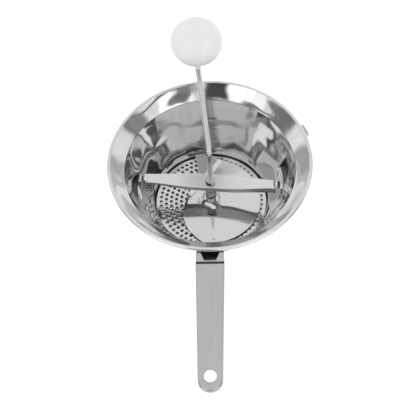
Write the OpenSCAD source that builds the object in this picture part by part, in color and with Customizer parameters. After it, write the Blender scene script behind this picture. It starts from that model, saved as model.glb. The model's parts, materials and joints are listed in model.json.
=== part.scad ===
// Rotary food mill: a flared steel bowl with a perforated disc in its foot, a crossbar that locks
// into two pockets of the wall, and a crank that turns a lipped blade over the disc.
// Origin: centre of the bowl's bottom lip, on the plane that the lip rests on. +Z is up, and the
// handle points along -Y.

/* [Bowl] */
// Diameter over the rolled rim
rim_d = 205; // [200:1:210]
// Height from the bottom lip to the top of the rim
bowl_h = 81; // [79:1:84]
// Inside diameter at the crease below the flared rim
shoulder_d = 172; // [170:1:174]
// Drop from the rim's top to that crease
shoulder_drop = 13.5; // [12:0.5:15]
// Inside diameter of the collar that holds the disc
collar_d = 119.4; // [118:0.2:121]
// Thickness of the bowl's sheet
sheet_t = 1; // [0.8:0.1:1.2]
// Diameter of the rolled bead round the rim
bead_d = 4.6; // [4:0.2:5.2]
// Inside diameter of the bottom lip
lip_d = 107; // [104:1:110]

/* [Perforated disc] */
// Diameter over the disc's turned-down skirt
disc_d = 114.4; // [113:0.2:116]
// Distance between the rings of holes
ring_pitch = 5.3; // [5:0.1:5.35]
// Number of the outermost ring of holes
ring_last = 10; // [8:1:10]
// Diameter of one hole
hole_d = 2.6; // [2:0.1:3]

/* [Crossbar] */
// Width of the bar at its middle
bar_w_mid = 18; // [16:0.5:20]
// Width of the bar at its ends
bar_w_end = 11; // [10:0.5:12]
// Angle of the bar from the X axis, seen from above
bar_yaw = -4.5; // [-8:0.5:0]
// How far the bar turns back to leave its stops
bar_turn = 14; // [10:1:16]

/* [Crank] */
// Diameter of the crank's rod
rod_d = 5.6; // [5.4:0.1:5.8]
// Distance from the bowl's axis to the knob's pin
crank_reach = 81; // [76:1:86]
// Height of the lower bend's corner above the rim
crank_rise = 12.5; // [10:0.5:15]
// Direction of the crank's arm, seen from above
crank_yaw = 97.5; // [90:0.5:105]
// Diameter of the knob
knob_d = 49.8; // [46:0.2:52]
// Height of the knob
knob_h = 40.4; // [38:0.2:42]

/* [Blade] */
// Radius of the blade's round edge
blade_r = 52.2; // [50:0.2:53]
// Slope of the blade's turned-up feed lip
lip_slope = 32; // [20:1:34]
// Direction in which the feed lip rises, seen from above
lip_yaw = 145; // [140:1:150]

/* [Handle] */
// Width of the handle beside the bowl
handle_w = 27.6; // [26:0.2:30]
// Width of the handle at its free end
handle_w_end = 22.4; // [21:0.2:25]
// Distance from the bowl's axis to the handle's tip
handle_reach = 239.6; // [230:0.2:260]
// Diameter of the hanging hole
hang_d = 11.4; // [10:0.2:13]

/* [Hidden] */
$fn = 96;
eps = 0.01;
steel = [0.78, 0.79, 0.80];
satin = [0.66, 0.66, 0.67];

// Bowl: the inner surface runs from the rim over the shoulder and down a straight cone.
rim_r = rim_d / 2;
bead_r = bead_d / 2;
shoulder_r = shoulder_d / 2;
shoulder_z = bowl_h - shoulder_drop;
collar_r = collar_d / 2;
collar_top = 11.6;
neck_flare = 3;
neck_rise = 2.9;
neck_r = collar_r + neck_flare;
neck_z = collar_top + neck_rise;
crease_drop = 0.3;
// Where the flare's two faces meet the bead, from the bead's centre.
flare_in = [-1.2, 0.4];
flare_out = [-0.4, -0.6];
cone_slope = (shoulder_r - neck_r) / (shoulder_z - neck_z);
skin = sheet_t * sqrt(1 + cone_slope * cone_slope);
function wall_in(z) = neck_r + (z - neck_z) * cone_slope;
function wall_out(z) = wall_in(z) + skin;

// Disc: a shallow lid whose skirt stands on the bottom lip.
disc_r = disc_d / 2;
disc_t = 0.8;
disc_top = 5;
pilot_r = 2.4;

// Crossbar and its pockets.
bar_drop = 37.5;
bar_top = bowl_h - bar_drop;
bar_t = 1;
bar_half = 67;
tongue_end = 78.4;
tongue_w = 8;
tongue_drop = 2.4;
flange_short = 3;
flange_tall = 8;
tongue_bend = 3;
bush_r = 4.2;
bush_collar_r = 5;
bush_crown_r = 4.5;
bush_rise = 3;
bush_foot_r = 6.4;
bush_foot_t = 1;
pocket_below = 5.5;
pocket_above = 11;
pocket_low = bar_top - pocket_below;
pocket_high = bar_top + pocket_above;
pocket_r = 79.8;
pocket_side = 5;
// The pocket's roof, at the middle of the tongue's resting place, and its slope along the pocket.
roof_z = bar_top + 4;
roof_slope = 33;

// Stack below the bar, on the rod.
rod_r = rod_d / 2;
run_gap = 0.05;
loose_gap = 0.4;
washer_t = 0.8;
upper_washer_z = bar_top - bar_t - bush_foot_t - washer_t;
lower_washer_r = 6.2;
blade_over_disc = 2;
blade_z = disc_top + blade_over_disc;
blade_t = 1;
// Distance from the axis to the fold of the blade's lip.
lip_start = 21;
// Boss pressed up round the hub: a cone with a level top.
boss_r = 15;
boss_top_r = 6.5;
boss_h = 4.3;
boss_z = blade_z + boss_h;
stack_h = 25.6;
hub_top = bar_top - stack_h;
hub_r = 5.2;
spigot_r = 3.6;
peen_t = 0.8;
lower_washer_top = hub_top + washer_t;
spring_wire_r = 0.7;
spring_r = 4.7;
spring_turns = 7;
spring_end_gap = 0.02;
pin_drop = 2.6;
pin_z = hub_top - pin_drop;
pin_r = 1;
clip_z = bar_top + bush_rise + loose_gap;
clip_r = 5;
tip_r = 2;
tip_z = 0.9;
tip_h = 6;

// Crank and knob.
bend_r = 8;
corner_z = bowl_h + crank_rise;
knob_rise = 84;
knob_z = bowl_h + knob_rise - knob_h / 2;
pin_corner_drop = 16;
pin_corner_z = knob_z - pin_corner_drop;
arm_slope = atan2(pin_corner_z - corner_z, crank_reach);
arm_turn = 90 - arm_slope;
bend_set = bend_r * tan(arm_turn / 2);
arm_len = norm([crank_reach, pin_corner_z - corner_z]) - 2 * bend_set;
// The knob's inner parts, measured from the knob's lowest point.
knob_pin_r = 2.3;
knob_pin_h = 22.5;
rod_stop = 1.4;
knob_washer_r = 5.4;
retainer_at = 20;
retainer_r = 4.2;
retainer_t = 1;
bush_low = 0.4;
bush_high = 24.6;
bush_cup_r = 4.7;
knob_bush_r = 6;
knob_bore_top = 25.4;

// Handle and hooks.
handle_drop = 4;
handle_top = bowl_h - handle_drop;
handle_t = 1.2;
handle_start = 112.5;
flange_d = 4;
tip_round_r = handle_w_end / 2;
hang_from_tip = 14.2;
foot_turn = 9;
foot_low = 40;
foot_high = shoulder_z - 0.5;
leg_z = shoulder_z - 1;
leg_in = shoulder_r + skin - 1;
// Width of a hook, as an angle about the bowl's axis.
hook_turn = 7.4;
hook_t = 1.5;
hook_reach = 109;
hook_bend = 1.5;
hook_low = 46;
hook_leave = 60;
hook_drop = 11;
hook_tip = 6;

module ring(r_out, r_in, h) {
    difference() {
        cylinder(r = r_out, h = h);
        translate([0, 0, -1]) cylinder(r = r_in, h = h + 2);
    }
}

// A solid that turns with the bar's resting angle.
module at_bar() {
    rotate([0, 0, bar_yaw]) children();
}

// The whole space inside the bowl's outer surface, used to trim what is welded to it.
module bowl_envelope() {
    rotate_extrude($fn = 180)
        polygon([[0, -1], [collar_r + sheet_t, -1], [collar_r + sheet_t, collar_top],
                 [neck_r + skin, neck_z], [shoulder_r + skin, shoulder_z],
                 [rim_r - bead_r, bowl_h - bead_r], [0, bowl_h]]);
}

module bowl_profile() {
    bead_at = [rim_r - bead_r, bowl_h - bead_r];
    polygon([bead_at + flare_in, [shoulder_r, shoulder_z],
             [neck_r, neck_z], [collar_r, collar_top], [collar_r, sheet_t],
             [lip_d / 2, sheet_t], [lip_d / 2, 0], [collar_r + sheet_t, 0],
             [collar_r + sheet_t, collar_top], [neck_r + skin, neck_z],
             [shoulder_r + skin, shoulder_z - crease_drop], bead_at + flare_out]);
    translate(bead_at) circle(r = bead_r, $fn = 48);
}

// Everything above a pocket's sloping roof.
module above_roof(grow) {
    translate([0, 0, roof_z + grow / cos(roof_slope)]) rotate([roof_slope, 0, 0])
        translate([0, -rim_r, 0]) cube(2 * rim_r);
}

// One pocket spans the tongue's resting place and its whole turn back. Its outer wall is upright
// and runs out into the cone, and its roof comes down over the resting place.
module pocket_sweep(grow) {
    for (side = [0, 180])
        rotate([0, 0, side + bar_yaw])
            difference() {
                rotate([0, 0, -pocket_side - grow])
                    rotate_extrude(angle = bar_turn + 2 * (pocket_side + grow), $fn = 180)
                        translate([wall_in(pocket_low) - 1, pocket_low - grow])
                            square([pocket_r + grow - wall_in(pocket_low) + 1,
                                    pocket_high - pocket_low + 2 * grow]);
                above_roof(grow);
            }
}

// The space inside the bowl's inner surface.
module bowl_inside() {
    rotate_extrude($fn = 180)
        polygon([[0, neck_z], [neck_r, neck_z], [shoulder_r, shoulder_z], [0, shoulder_z]]);
}

module bowl() {
    color(steel)
        difference() {
            union() {
                rotate_extrude($fn = 180) bowl_profile();
                difference() {
                    pocket_sweep(sheet_t);
                    bowl_inside();
                }
            }
            pocket_sweep(0);
        }
}

module handle_outline(inset) {
    w0 = handle_w / 2 - inset;
    w1 = tip_round_r - inset;
    tip_y = handle_reach - tip_round_r;
    polygon([[-w0, -handle_start], [w0, -handle_start], [w1, -tip_y], [-w1, -tip_y]]);
    translate([0, -tip_y]) circle(r = w1);
}

// Flat strap with turned-down edges, a leg that slopes in under the rim, and a foot welded to the
// cone.
module handle() {
    color(satin) {
        translate([0, 0, handle_top - handle_t]) linear_extrude(handle_t)
            difference() {
                handle_outline(0);
                translate([0, hang_from_tip - handle_reach]) circle(r = hang_d / 2);
            }
        translate([0, 0, handle_top - flange_d]) linear_extrude(flange_d - handle_t + eps)
            difference() {
                handle_outline(0);
                handle_outline(handle_t);
                translate([-handle_w, -handle_start - handle_t]) square([2 * handle_w, 10]);
            }
        difference() {
            translate([handle_w / 2, 0, 0]) rotate([0, -90, 0]) linear_extrude(handle_w)
                polygon([[handle_top, -handle_start], [leg_z, -leg_in],
                         [leg_z - handle_t, -leg_in],
                         [handle_top - handle_t, -handle_start]]);
            bowl_envelope();
        }
        rotate([0, 0, -90 - foot_turn])
            rotate_extrude(angle = 2 * foot_turn, $fn = 180)
                polygon([[wall_out(foot_low), foot_low], [wall_out(foot_low) + handle_t, foot_low],
                         [wall_out(foot_high) + handle_t, foot_high],
                         [wall_out(foot_high), foot_high]]);
    }
}

// Bent lug, welded to the cone, that rests on the edge of a pot together with the handle.
module hook(yaw) {
    shelf = bowl_h - hook_drop;
    leave_r = wall_out(hook_leave);
    color(satin)
        rotate([0, 0, yaw - hook_turn / 2])
            rotate_extrude(angle = hook_turn, $fn = 180)
                polygon([[wall_out(hook_low), hook_low], [leave_r, hook_leave],
                         [shoulder_r + 5, shelf], [hook_reach - hook_bend, shelf],
                         [hook_reach, shelf - hook_bend], [hook_reach, shelf - hook_tip],
                         [hook_reach - hook_t, shelf - hook_tip],
                         [hook_reach - hook_t, shelf - hook_t], [shoulder_r + 6, shelf - hook_t],
                         [leave_r + hook_t, hook_leave - 1], [wall_out(hook_low) + hook_t, hook_low]]);
}

module hook_right() {
    hook(24.3);
}

module hook_rear() {
    hook(102);
}

// A ring has six holes for each step out from the centre, which keeps them evenly spread.
module strainer_disc() {
    color(steel) {
        translate([0, 0, disc_top - disc_t]) linear_extrude(disc_t)
            difference() {
                circle(r = disc_r, $fn = 180);
                circle(r = pilot_r);
                for (ring = [2:ring_last])
                    for (i = [0:6 * ring - 1])
                        rotate([0, 0, (i + ring / 2) * 60 / ring])
                            translate([ring * ring_pitch, 0]) circle(r = hole_d / 2, $fn = 24);
            }
        translate([0, 0, sheet_t])
            ring(disc_r, disc_r - disc_t, disc_top - disc_t - sheet_t + eps, $fn = 180);
    }
}

module bar_plan(inset) {
    m = bar_w_mid / 2 - inset;
    e = bar_w_end / 2 - inset;
    flat = bar_w_mid;
    polygon([[-bar_half, -e], [-flat, -m], [flat, -m], [bar_half, -e],
             [bar_half, e], [flat, m], [-flat, m], [-bar_half, e]]);
}

// One edge flange, low at one end of the bar and deep at the other.
module bar_flange() {
    intersection() {
        translate([0, 0, bar_top - flange_tall]) linear_extrude(flange_tall - bar_t / 2)
            difference() {
                bar_plan(0);
                bar_plan(bar_t);
                translate([-bar_half - 1, 0]) square([2 * bar_half + 2, bar_w_mid]);
            }
        translate([0, 1, 0]) rotate([90, 0, 0]) linear_extrude(bar_w_mid)
            polygon([[-bar_half, bar_top], [-bar_half, bar_top - flange_short],
                     [bar_half - 1, bar_top - flange_tall], [bar_half - 1, bar_top]]);
    }
}

// A tongue steps down beyond the bar's end, so that the bar stands above its pockets.
module bar_tongue() {
    low = bar_top - tongue_drop;
    step = bar_half + 1;
    translate([0, tongue_w / 2, 0]) rotate([90, 0, 0]) linear_extrude(tongue_w)
        polygon([[bar_half - 1, bar_top], [step, bar_top], [step + tongue_bend, low],
                 [tongue_end, low], [tongue_end, low - bar_t],
                 [step + tongue_bend - bar_t / 2, low - bar_t], [step - bar_t / 2, bar_top - bar_t],
                 [bar_half - 1, bar_top - bar_t]]);
}

module crossbar() {
    color(steel)
        at_bar()
            difference() {
                union() {
                    translate([0, 0, bar_top - bar_t]) linear_extrude(bar_t) bar_plan(0);
                    for (turn = [0, 180])
                        rotate([0, 0, turn]) {
                            bar_flange();
                            bar_tongue();
                        }
                }
                translate([0, 0, bar_top - 10]) cylinder(r = bush_r, h = 20);
            }
}

// Flared eyelet that carries the rod through the bar.
module bar_bush() {
    bore = rod_r + run_gap;
    low = bar_top - bar_t - bush_foot_t;
    color(steel)
        rotate_extrude()
            polygon([[bore, low], [bush_foot_r, low], [bush_foot_r, low + bush_foot_t],
                     [bush_r, low + bush_foot_t], [bush_r, bar_top], [bush_collar_r, bar_top],
                     [bush_crown_r, bar_top + bush_rise], [bore, bar_top + bush_rise]]);
}

module upper_washer() {
    color(steel) translate([0, 0, upper_washer_z]) ring(bush_foot_r, rod_r + loose_gap, washer_t);
}

function coil_point(a, z) = [spring_r * cos(a), spring_r * sin(a), z];

// Helical spring wire as one swept tube.
module spring() {
    sides = 8;
    per_turn = 12;
    steps = per_turn * spring_turns;
    low = lower_washer_top + spring_wire_r + spring_end_gap;
    rise = upper_washer_z - spring_wire_r - spring_end_gap - low;
    points = [for (k = [0:steps])
              let (a = k * 360 / per_turn, c = coil_point(a, low + rise * k / steps))
              for (j = [0:sides - 1]) let (b = j * 360 / sides)
              c + spring_wire_r * [cos(a) * cos(b), sin(a) * cos(b), sin(b)]];
    sidewalls = [for (k = [0:steps - 1]) for (j = [0:sides - 1]) let (n = (j + 1) % sides)
                 [k * sides + j, (k + 1) * sides + j, (k + 1) * sides + n, k * sides + n]];
    caps = [[for (j = [0:sides - 1]) j], [for (j = [sides - 1:-1:0]) steps * sides + j]];
    color(satin) polyhedron(points = points, faces = concat(sidewalls, caps));
}

module lower_washer() {
    color(steel) translate([0, 0, hub_top]) ring(lower_washer_r, rod_r + run_gap, washer_t);
}

// A bend reaches a little way into the straight rods at both its ends, and is a hair thinner.
module rod_bend() {
    reach_in = 3;
    hair = 0.03;
    rotate([90, 0, 0]) rotate([0, 0, -reach_in]) rotate_extrude(angle = arm_turn + 2 * reach_in)
        translate([bend_r, 0]) circle(r = rod_r - hair);
}

// Round rod from its pilot tip in the disc, up, along the slanted arm and up the knob's pin.
module crank_rod() {
    shaft_low = tip_z + tip_h;
    pin_rod_low = pin_corner_z + bend_set;
    pin_overlap = 0.6;
    color(steel)
        difference() {
            rotate([0, 0, crank_yaw]) {
                translate([0, 0, tip_z]) cylinder(r = tip_r, h = tip_h + 2);
                translate([0, 0, shaft_low])
                    cylinder(r = rod_r, h = corner_z - bend_set - shaft_low);
                translate([bend_r, 0, corner_z - bend_set]) rotate([0, arm_turn - 180, 0])
                    rod_bend();
                translate([bend_set * cos(arm_slope), 0, corner_z + bend_set * sin(arm_slope)])
                    rotate([0, 90 - arm_slope, 0]) cylinder(r = rod_r, h = arm_len);
                translate([crank_reach - bend_r, 0, pin_rod_low])
                    rotate([0, arm_turn, 0]) rod_bend();
                translate([crank_reach, 0, pin_rod_low])
                    cylinder(r = rod_r, h = knob_z - rod_stop - pin_rod_low);
                translate([crank_reach, 0, knob_z - rod_stop - pin_overlap])
                    cylinder(r = knob_pin_r, h = knob_pin_h + rod_stop + pin_overlap);
            }
            hub_pin_hole();
        }
}

module hub_pin_hole() {
    rotate([0, 0, crank_yaw]) translate([-10, 0, pin_z]) rotate([0, 90, 0])
        cylinder(r = pin_r, h = 20, $fn = 32);
}

module stop_clip() {
    color(satin) translate([0, 0, clip_z]) ring(clip_r, rod_r, washer_t);
}

// A sheet wider than the blade: flat round the hub, then folded up towards lip_yaw.
module folded_sheet() {
    half = blade_t / 2;
    set = half * tan(lip_slope / 2);
    lip_end = [lip_start + blade_r * cos(lip_slope), blade_r * sin(lip_slope)];
    across = half * [-sin(lip_slope), cos(lip_slope)];
    rotate([0, 0, lip_yaw]) translate([0, rim_r, blade_z]) rotate([90, 0, 0])
        linear_extrude(2 * rim_r)
            polygon([[-rim_r, -half], [lip_start + set, -half], lip_end - across,
                     lip_end + across, [lip_start - set, half], [-rim_r, half]]);
}

// Outline seen from above: a round plate with the feed side cut away.
module blade_outline() {
    intersection() {
        circle(r = blade_r, $fn = 180);
        polygon([[-15.5, 60], [-16.5, 48], [-16.6, 44.5], [-13.4, 38], [-13.9, 32.5], [-17, 22],
                 [-21, 13.5], [-23.8, 7.8], [-26.8, -1], [-29.3, -8.4], [-29.8, -18.2],
                 [-27, -30.5], [-22.3, -39], [-14.9, -46.3], [-8.7, -50.6], [0, -60],
                 [60, -60], [60, 60]]);
    }
}

// The boss as a sheet, with a narrow level brim that joins the plate round it.
module blade_boss() {
    half = blade_t / 2;
    brim = 0.5;
    translate([0, 0, blade_z]) rotate_extrude()
        polygon([[boss_r + brim, -half], [boss_r, -half], [boss_top_r, boss_h - half],
                 [spigot_r, boss_h - half], [spigot_r, boss_h + half],
                 [boss_top_r, boss_h + half], [boss_r, half], [boss_r + brim, half]]);
}

module blade() {
    overlap = 0.2;
    color(steel) {
        difference() {
            intersection() {
                linear_extrude(bar_top) blade_outline();
                folded_sheet();
            }
            cylinder(r = boss_r + overlap, h = bar_top);
        }
        blade_boss();
    }
}

// Sleeve above the blade, with a spigot through it that is peened over below.
module blade_hub() {
    blade_low = boss_z - blade_t / 2;
    blade_high = boss_z + blade_t / 2;
    color(steel)
        difference() {
            union() {
                translate([0, 0, blade_high]) cylinder(r = hub_r, h = hub_top - blade_high);
                translate([0, 0, blade_low - peen_t / 2])
                    cylinder(r = spigot_r, h = blade_t + peen_t);
                translate([0, 0, blade_low - peen_t]) cylinder(r = hub_r, h = peen_t);
            }
            translate([0, 0, -1]) cylinder(r = rod_r, h = bowl_h);
            hub_pin_hole();
        }
}

module hub_pin() {
    half = hub_r + 0.5;
    color(satin)
        rotate([0, 0, crank_yaw]) translate([-half, 0, pin_z]) rotate([0, 90, 0])
            cylinder(r = pin_r, h = 2 * half, $fn = 32);
}

// A height above the knob's lowest point, on the knob's axis.
module at_knob(z) {
    rotate([0, 0, crank_yaw]) translate([crank_reach, 0, knob_z + z]) children();
}

module knob_washer() {
    color(steel) at_knob(-rod_stop) ring(knob_washer_r, knob_pin_r, washer_t);
}

module knob_retainer() {
    color(satin) at_knob(retainer_at) ring(retainer_r, knob_pin_r, retainer_t);
}

module knob_bush() {
    bore = knob_pin_r + run_gap;
    step = retainer_at - loose_gap;
    color(steel)
        at_knob(0)
            rotate_extrude()
                polygon([[bore, -bush_low], [knob_bush_r, -bush_low], [knob_bush_r, bush_high],
                         [bush_cup_r, bush_high], [bush_cup_r, step], [bore, step]]);
}

// Point of the knob's outline: a squared ellipse, level at the pole and upright at the waist.
function knob_point(a) =
    let (p = 2 / 2.25, c = cos(a), s = sin(a))
    [knob_d / 2 * pow(max(c, 0), p), knob_h / 2 + knob_h / 2 * sign(s) * pow(abs(s), p)];

module knob() {
    flat_a = -72;
    step_a = 6;
    color([0.95, 0.95, 0.94])
        at_knob(0)
            difference() {
                rotate_extrude()
                    polygon(concat([[0, knob_point(flat_a)[1]]],
                                   [for (a = [flat_a:step_a:84]) knob_point(a)], [[0, knob_h]]));
                translate([0, 0, -1]) cylinder(r = knob_bush_r, h = knob_bore_top + 1);
            }
}

bowl();
handle();
hook_right();
hook_rear();
strainer_disc();
crossbar();
bar_bush();
upper_washer();
spring();
lower_washer();
crank_rod();
stop_clip();
blade();
blade_hub();
hub_pin();
knob_washer();
knob_retainer();
knob_bush();
knob();
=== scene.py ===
import json
import math

import bmesh
import bpy
from mathutils import Matrix, Vector
from mathutils.geometry import delaunay_2d_cdt, tessellate_polygon


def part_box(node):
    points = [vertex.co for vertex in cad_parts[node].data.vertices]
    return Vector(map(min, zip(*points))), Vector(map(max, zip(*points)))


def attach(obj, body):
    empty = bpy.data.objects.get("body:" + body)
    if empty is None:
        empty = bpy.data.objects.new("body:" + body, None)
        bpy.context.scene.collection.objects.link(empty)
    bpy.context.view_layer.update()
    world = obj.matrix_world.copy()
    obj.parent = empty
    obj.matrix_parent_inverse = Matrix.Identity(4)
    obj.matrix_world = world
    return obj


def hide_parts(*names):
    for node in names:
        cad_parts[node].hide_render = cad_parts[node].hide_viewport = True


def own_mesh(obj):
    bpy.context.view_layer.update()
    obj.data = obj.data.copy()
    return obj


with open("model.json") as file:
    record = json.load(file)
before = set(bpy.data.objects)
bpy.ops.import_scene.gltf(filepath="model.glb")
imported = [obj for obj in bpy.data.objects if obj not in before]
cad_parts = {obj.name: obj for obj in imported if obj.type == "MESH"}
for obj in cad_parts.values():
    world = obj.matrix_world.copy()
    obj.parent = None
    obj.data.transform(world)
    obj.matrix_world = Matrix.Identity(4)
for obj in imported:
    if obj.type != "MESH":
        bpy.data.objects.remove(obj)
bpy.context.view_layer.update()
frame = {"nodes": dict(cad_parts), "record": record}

# A rotary food mill in polished steel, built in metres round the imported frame.
# Its axis is Z, and the handle points along -Y.
MM = 0.001
BODY_OF = {
    node: body
    for body, nodes in frame["record"]["behaviour"]["bodies"].items()
    for node in nodes
}

# Bowl
LIP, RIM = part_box("bowl")
SHEET = 1.0 * MM
BEAD_R = 2.3 * MM
RIM_R = RIM.x
RIM_Z = RIM.z
SHOULDER_R = 86.0 * MM
SHOULDER_Z = RIM_Z - 13.5 * MM
COLLAR_R = 59.7 * MM
COLLAR_TOP = 12.9 * MM
NECK_R = COLLAR_R + 1.35 * MM
NECK_Z = COLLAR_TOP + 1.75 * MM
LIP_R = 53.5 * MM
GROOVE_TOP = 3.8 * MM
CONE_SLOPE = (SHOULDER_R - NECK_R) / (SHOULDER_Z - NECK_Z)
SKIN = SHEET * math.hypot(1, CONE_SLOPE)

# Perforated disc
DISC_R = COLLAR_R - 0.9 * MM
DISC_THICK = 0.8 * MM
HOLE_PITCH = 5.3 * MM
HOLE_R = 1.4 * MM
HOLE_RINGS = range(2, 11)

# Crossbar
BAR_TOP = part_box("crossbar")[1].z
BAR_YAW = math.radians(-4.5)
BAR_TURN = math.radians(14.0)
BAR_HALF = 67.0 * MM
TONGUE_END = 78.4 * MM
POCKET_R = 79.8 * MM
POCKET_LOW = BAR_TOP - 5.5 * MM
POCKET_EDGE = 0.9 * MM
POCKET_SILL = 4.0 * MM
POCKET_SIDE = math.radians(5.0)
ROOF_Z = BAR_TOP + 4.0 * MM
ROOF_SLOPE = math.radians(33.0)

# Crank, blade and knob
ROD_R = 2.8 * MM
CRANK_YAW = math.radians(97.5)
CRANK_REACH = 81.0 * MM
BLADE_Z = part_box("strainer_disc")[1].z + 2.0 * MM
BLADE_R = 52.2 * MM
LIP_START = 21.0 * MM
LIP_SLOPE = math.radians(32.0)
LIP_YAW = math.radians(145.0)
BOSS_R = 15.0 * MM
BOSS_TOP_R = 6.5 * MM
BOSS_H = 4.3 * MM
BOSS_YAW = math.radians(-60.0)
DISH_R = 49.0 * MM
DISH_H = 2.2 * MM
KNOB_LOW, KNOB_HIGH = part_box("knob")
KNOB_SQUARENESS = 2.25

# Handle
HANDLE_TOP = RIM_Z - 4 * MM
HANDLE_SHEET = 1.2 * MM
STRAP_START = 113.4 * MM
HANG_HOLE_R = 5.7 * MM

# Studio: the tent's brightness, and round places in it that differ, as azimuth, elevation,
# radius and softness in degrees, and brightness
TENT_BRIGHTNESS = 1.06
TENT_PATCHES = [
    (-104, 38, 14.5, 1.5, 0.03),
    (228, 33, 17, 2.0, 1.75),
    (-52, 35, 17, 2.0, 1.75),
    (190, 16, 14, 2.5, 0.22),
    (-8, 16, 14, 2.5, 0.30),
    (4, 42, 9, 3.0, 0.50),
    (147, 2, 13, 3.0, 0.50),
    (35, 3, 6, 3.0, 0.55),
    (-92, 12, 8, 3.0, 0.20),
]


# ---------------------------------------------------------------- geometry

def polar(radius, angle, z=0.0):
    """The point at this radius and angle round the Z axis."""
    return Vector((radius * math.cos(angle), radius * math.sin(angle), z))


def smooth(x):
    """0 below 0, 1 above 1, and an S curve between."""
    x = min(max(x, 0.0), 1.0)
    return x * x * (3 - 2 * x)


def rounded(corners, closed=True, step=12.0):
    """Points of an outline through corners (x, y, radius), each rounded by an arc."""
    out = []
    count = len(corners)
    for i, (x, y, radius) in enumerate(corners):
        here = Vector((x, y))
        if radius == 0 or (not closed and i in (0, count - 1)):
            out.append(here)
            continue
        before = (Vector(corners[i - 1][:2]) - here).normalized()
        after = (Vector(corners[(i + 1) % count][:2]) - here).normalized()
        half = before.angle(after) / 2
        if half > math.pi / 2 - 0.01:
            out.append(here)
            continue
        centre = here + (before + after).normalized() * radius / math.sin(half)
        start = here + before * radius / math.tan(half) - centre
        end = here + after * radius / math.tan(half) - centre
        first = math.atan2(start.y, start.x)
        sweep = (math.atan2(end.y, end.x) - first + math.pi) % (2 * math.pi) - math.pi
        steps = max(2, math.ceil(abs(math.degrees(sweep)) / step))
        out += [
            centre + polar(radius, first + sweep * k / steps).xy for k in range(steps + 1)
        ]
    return out


def make_object(name, verts, faces, material, sharp=35.0):
    """A smooth-shaded mesh object with outward normals and sharp edges above an angle."""
    mesh = bpy.data.meshes.new(name)
    mesh.from_pydata([tuple(v) for v in verts], [], faces)
    bm = bmesh.new()
    bm.from_mesh(mesh)
    bmesh.ops.remove_doubles(bm, verts=bm.verts, dist=1e-7)
    bmesh.ops.recalc_face_normals(bm, faces=bm.faces)
    if bm.calc_volume(signed=True) < 0:
        bmesh.ops.reverse_faces(bm, faces=bm.faces)
    bm.to_mesh(mesh)
    bm.free()
    mesh.polygons.foreach_set("use_smooth", [True] * len(mesh.polygons))
    mesh.set_sharp_from_angle(angle=math.radians(sharp))
    mesh.materials.append(material)
    obj = bpy.data.objects.new(name, mesh)
    obj.modifiers.new("even_shading", "WEIGHTED_NORMAL").keep_sharp = True
    bpy.context.scene.collection.objects.link(obj)
    return obj


def grid_faces(rows, columns, wrap_rows=False, wrap_columns=False, start=0):
    """Quads over rows of points that were written one row after another."""
    return [
        (
            start + r * columns + c,
            start + r * columns + (c + 1) % columns,
            start + (r + 1) % rows * columns + (c + 1) % columns,
            start + (r + 1) % rows * columns + c,
        )
        for r in range(rows if wrap_rows else rows - 1)
        for c in range(columns if wrap_columns else columns - 1)
    ]


def lathe(name, profile, material, centre=(0, 0), columns=96, closed=True, sharp=35.0):
    """A solid turned from a profile of (radius, z) points round a vertical axis."""
    angles = [2 * math.pi * c / columns for c in range(columns)]
    shift = Vector((*centre, 0))
    verts = [polar(r, a, z) + shift for r, z in profile for a in angles]
    faces = grid_faces(len(profile), columns, closed, True)
    return make_object(name, verts, faces, material, sharp)


def loft(sections, capped=True):
    """Vertices and faces through closed sections that all have the same number of points."""
    size = len(sections[0])
    verts = [v for section in sections for v in section]
    faces = grid_faces(len(sections), size, False, True)
    if capped:
        last = len(verts) - size
        faces += [tuple(cap) for cap in tessellate_polygon([sections[0]])]
        faces += [(last + c, last + b, last + a) for a, b, c in tessellate_polygon([sections[-1]])]
    return verts, faces


def tube_sections(path, radii, sides, first_normal):
    """Round sections along a path, turned as little as possible from one to the next."""
    normal = Vector(first_normal).normalized()
    sections = []
    for i, point in enumerate(path):
        ahead = path[min(i + 1, len(path) - 1)] - path[max(i - 1, 0)]
        along = ahead.normalized()
        normal = (normal - along * normal.dot(along)).normalized()
        side = along.cross(normal)
        turns = [2 * math.pi * k / sides for k in range(sides)]
        sections.append(
            [point + (normal * math.cos(t) + side * math.sin(t)) * radii[i] for t in turns]
        )
    return sections


def strip(path, width_at, thickness, across):
    """Loft sections of a flat strip: path is its upper face's line, across its width's
    direction, and width_at(i) its width at point i."""
    sections = []
    across = Vector(across).normalized()
    edge = thickness * 0.3
    for i, point in enumerate(path):
        along = (path[min(i + 1, len(path) - 1)] - path[max(i - 1, 0)]).normalized()
        up = across.cross(along).normalized()
        half = width_at(i) / 2
        ring = rounded(
            [(-half, 0, edge), (half, 0, edge), (half, -thickness, edge), (-half, -thickness, edge)],
            step=45,
        )
        sections.append([point + across * p.x + up * p.y for p in ring])
    return sections


def merge(parts):
    """One (verts, faces) pair from several."""
    verts, faces = [], []
    for more, their_faces in parts:
        start = len(verts)
        verts += list(more)
        faces += [tuple(i + start for i in face) for face in their_faces]
    return verts, faces


def inset(loop, distance):
    """The loop moved to its left, which is inwards on a loop that runs anticlockwise."""
    out = []
    for i, point in enumerate(loop):
        ahead = (loop[(i + 1) % len(loop)] - loop[i - 1]).normalized()
        out.append(point + Vector((-ahead.y, ahead.x)) * distance)
    return out


def circle(radius, count, centre=(0, 0), clockwise=False):
    """A loop of points seen from above; holes run clockwise, so that inset widens them."""
    turn = -1 if clockwise else 1
    return [
        Vector(centre) + polar(radius, turn * 2 * math.pi * k / count).xy
        for k in range(count)
    ]


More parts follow.
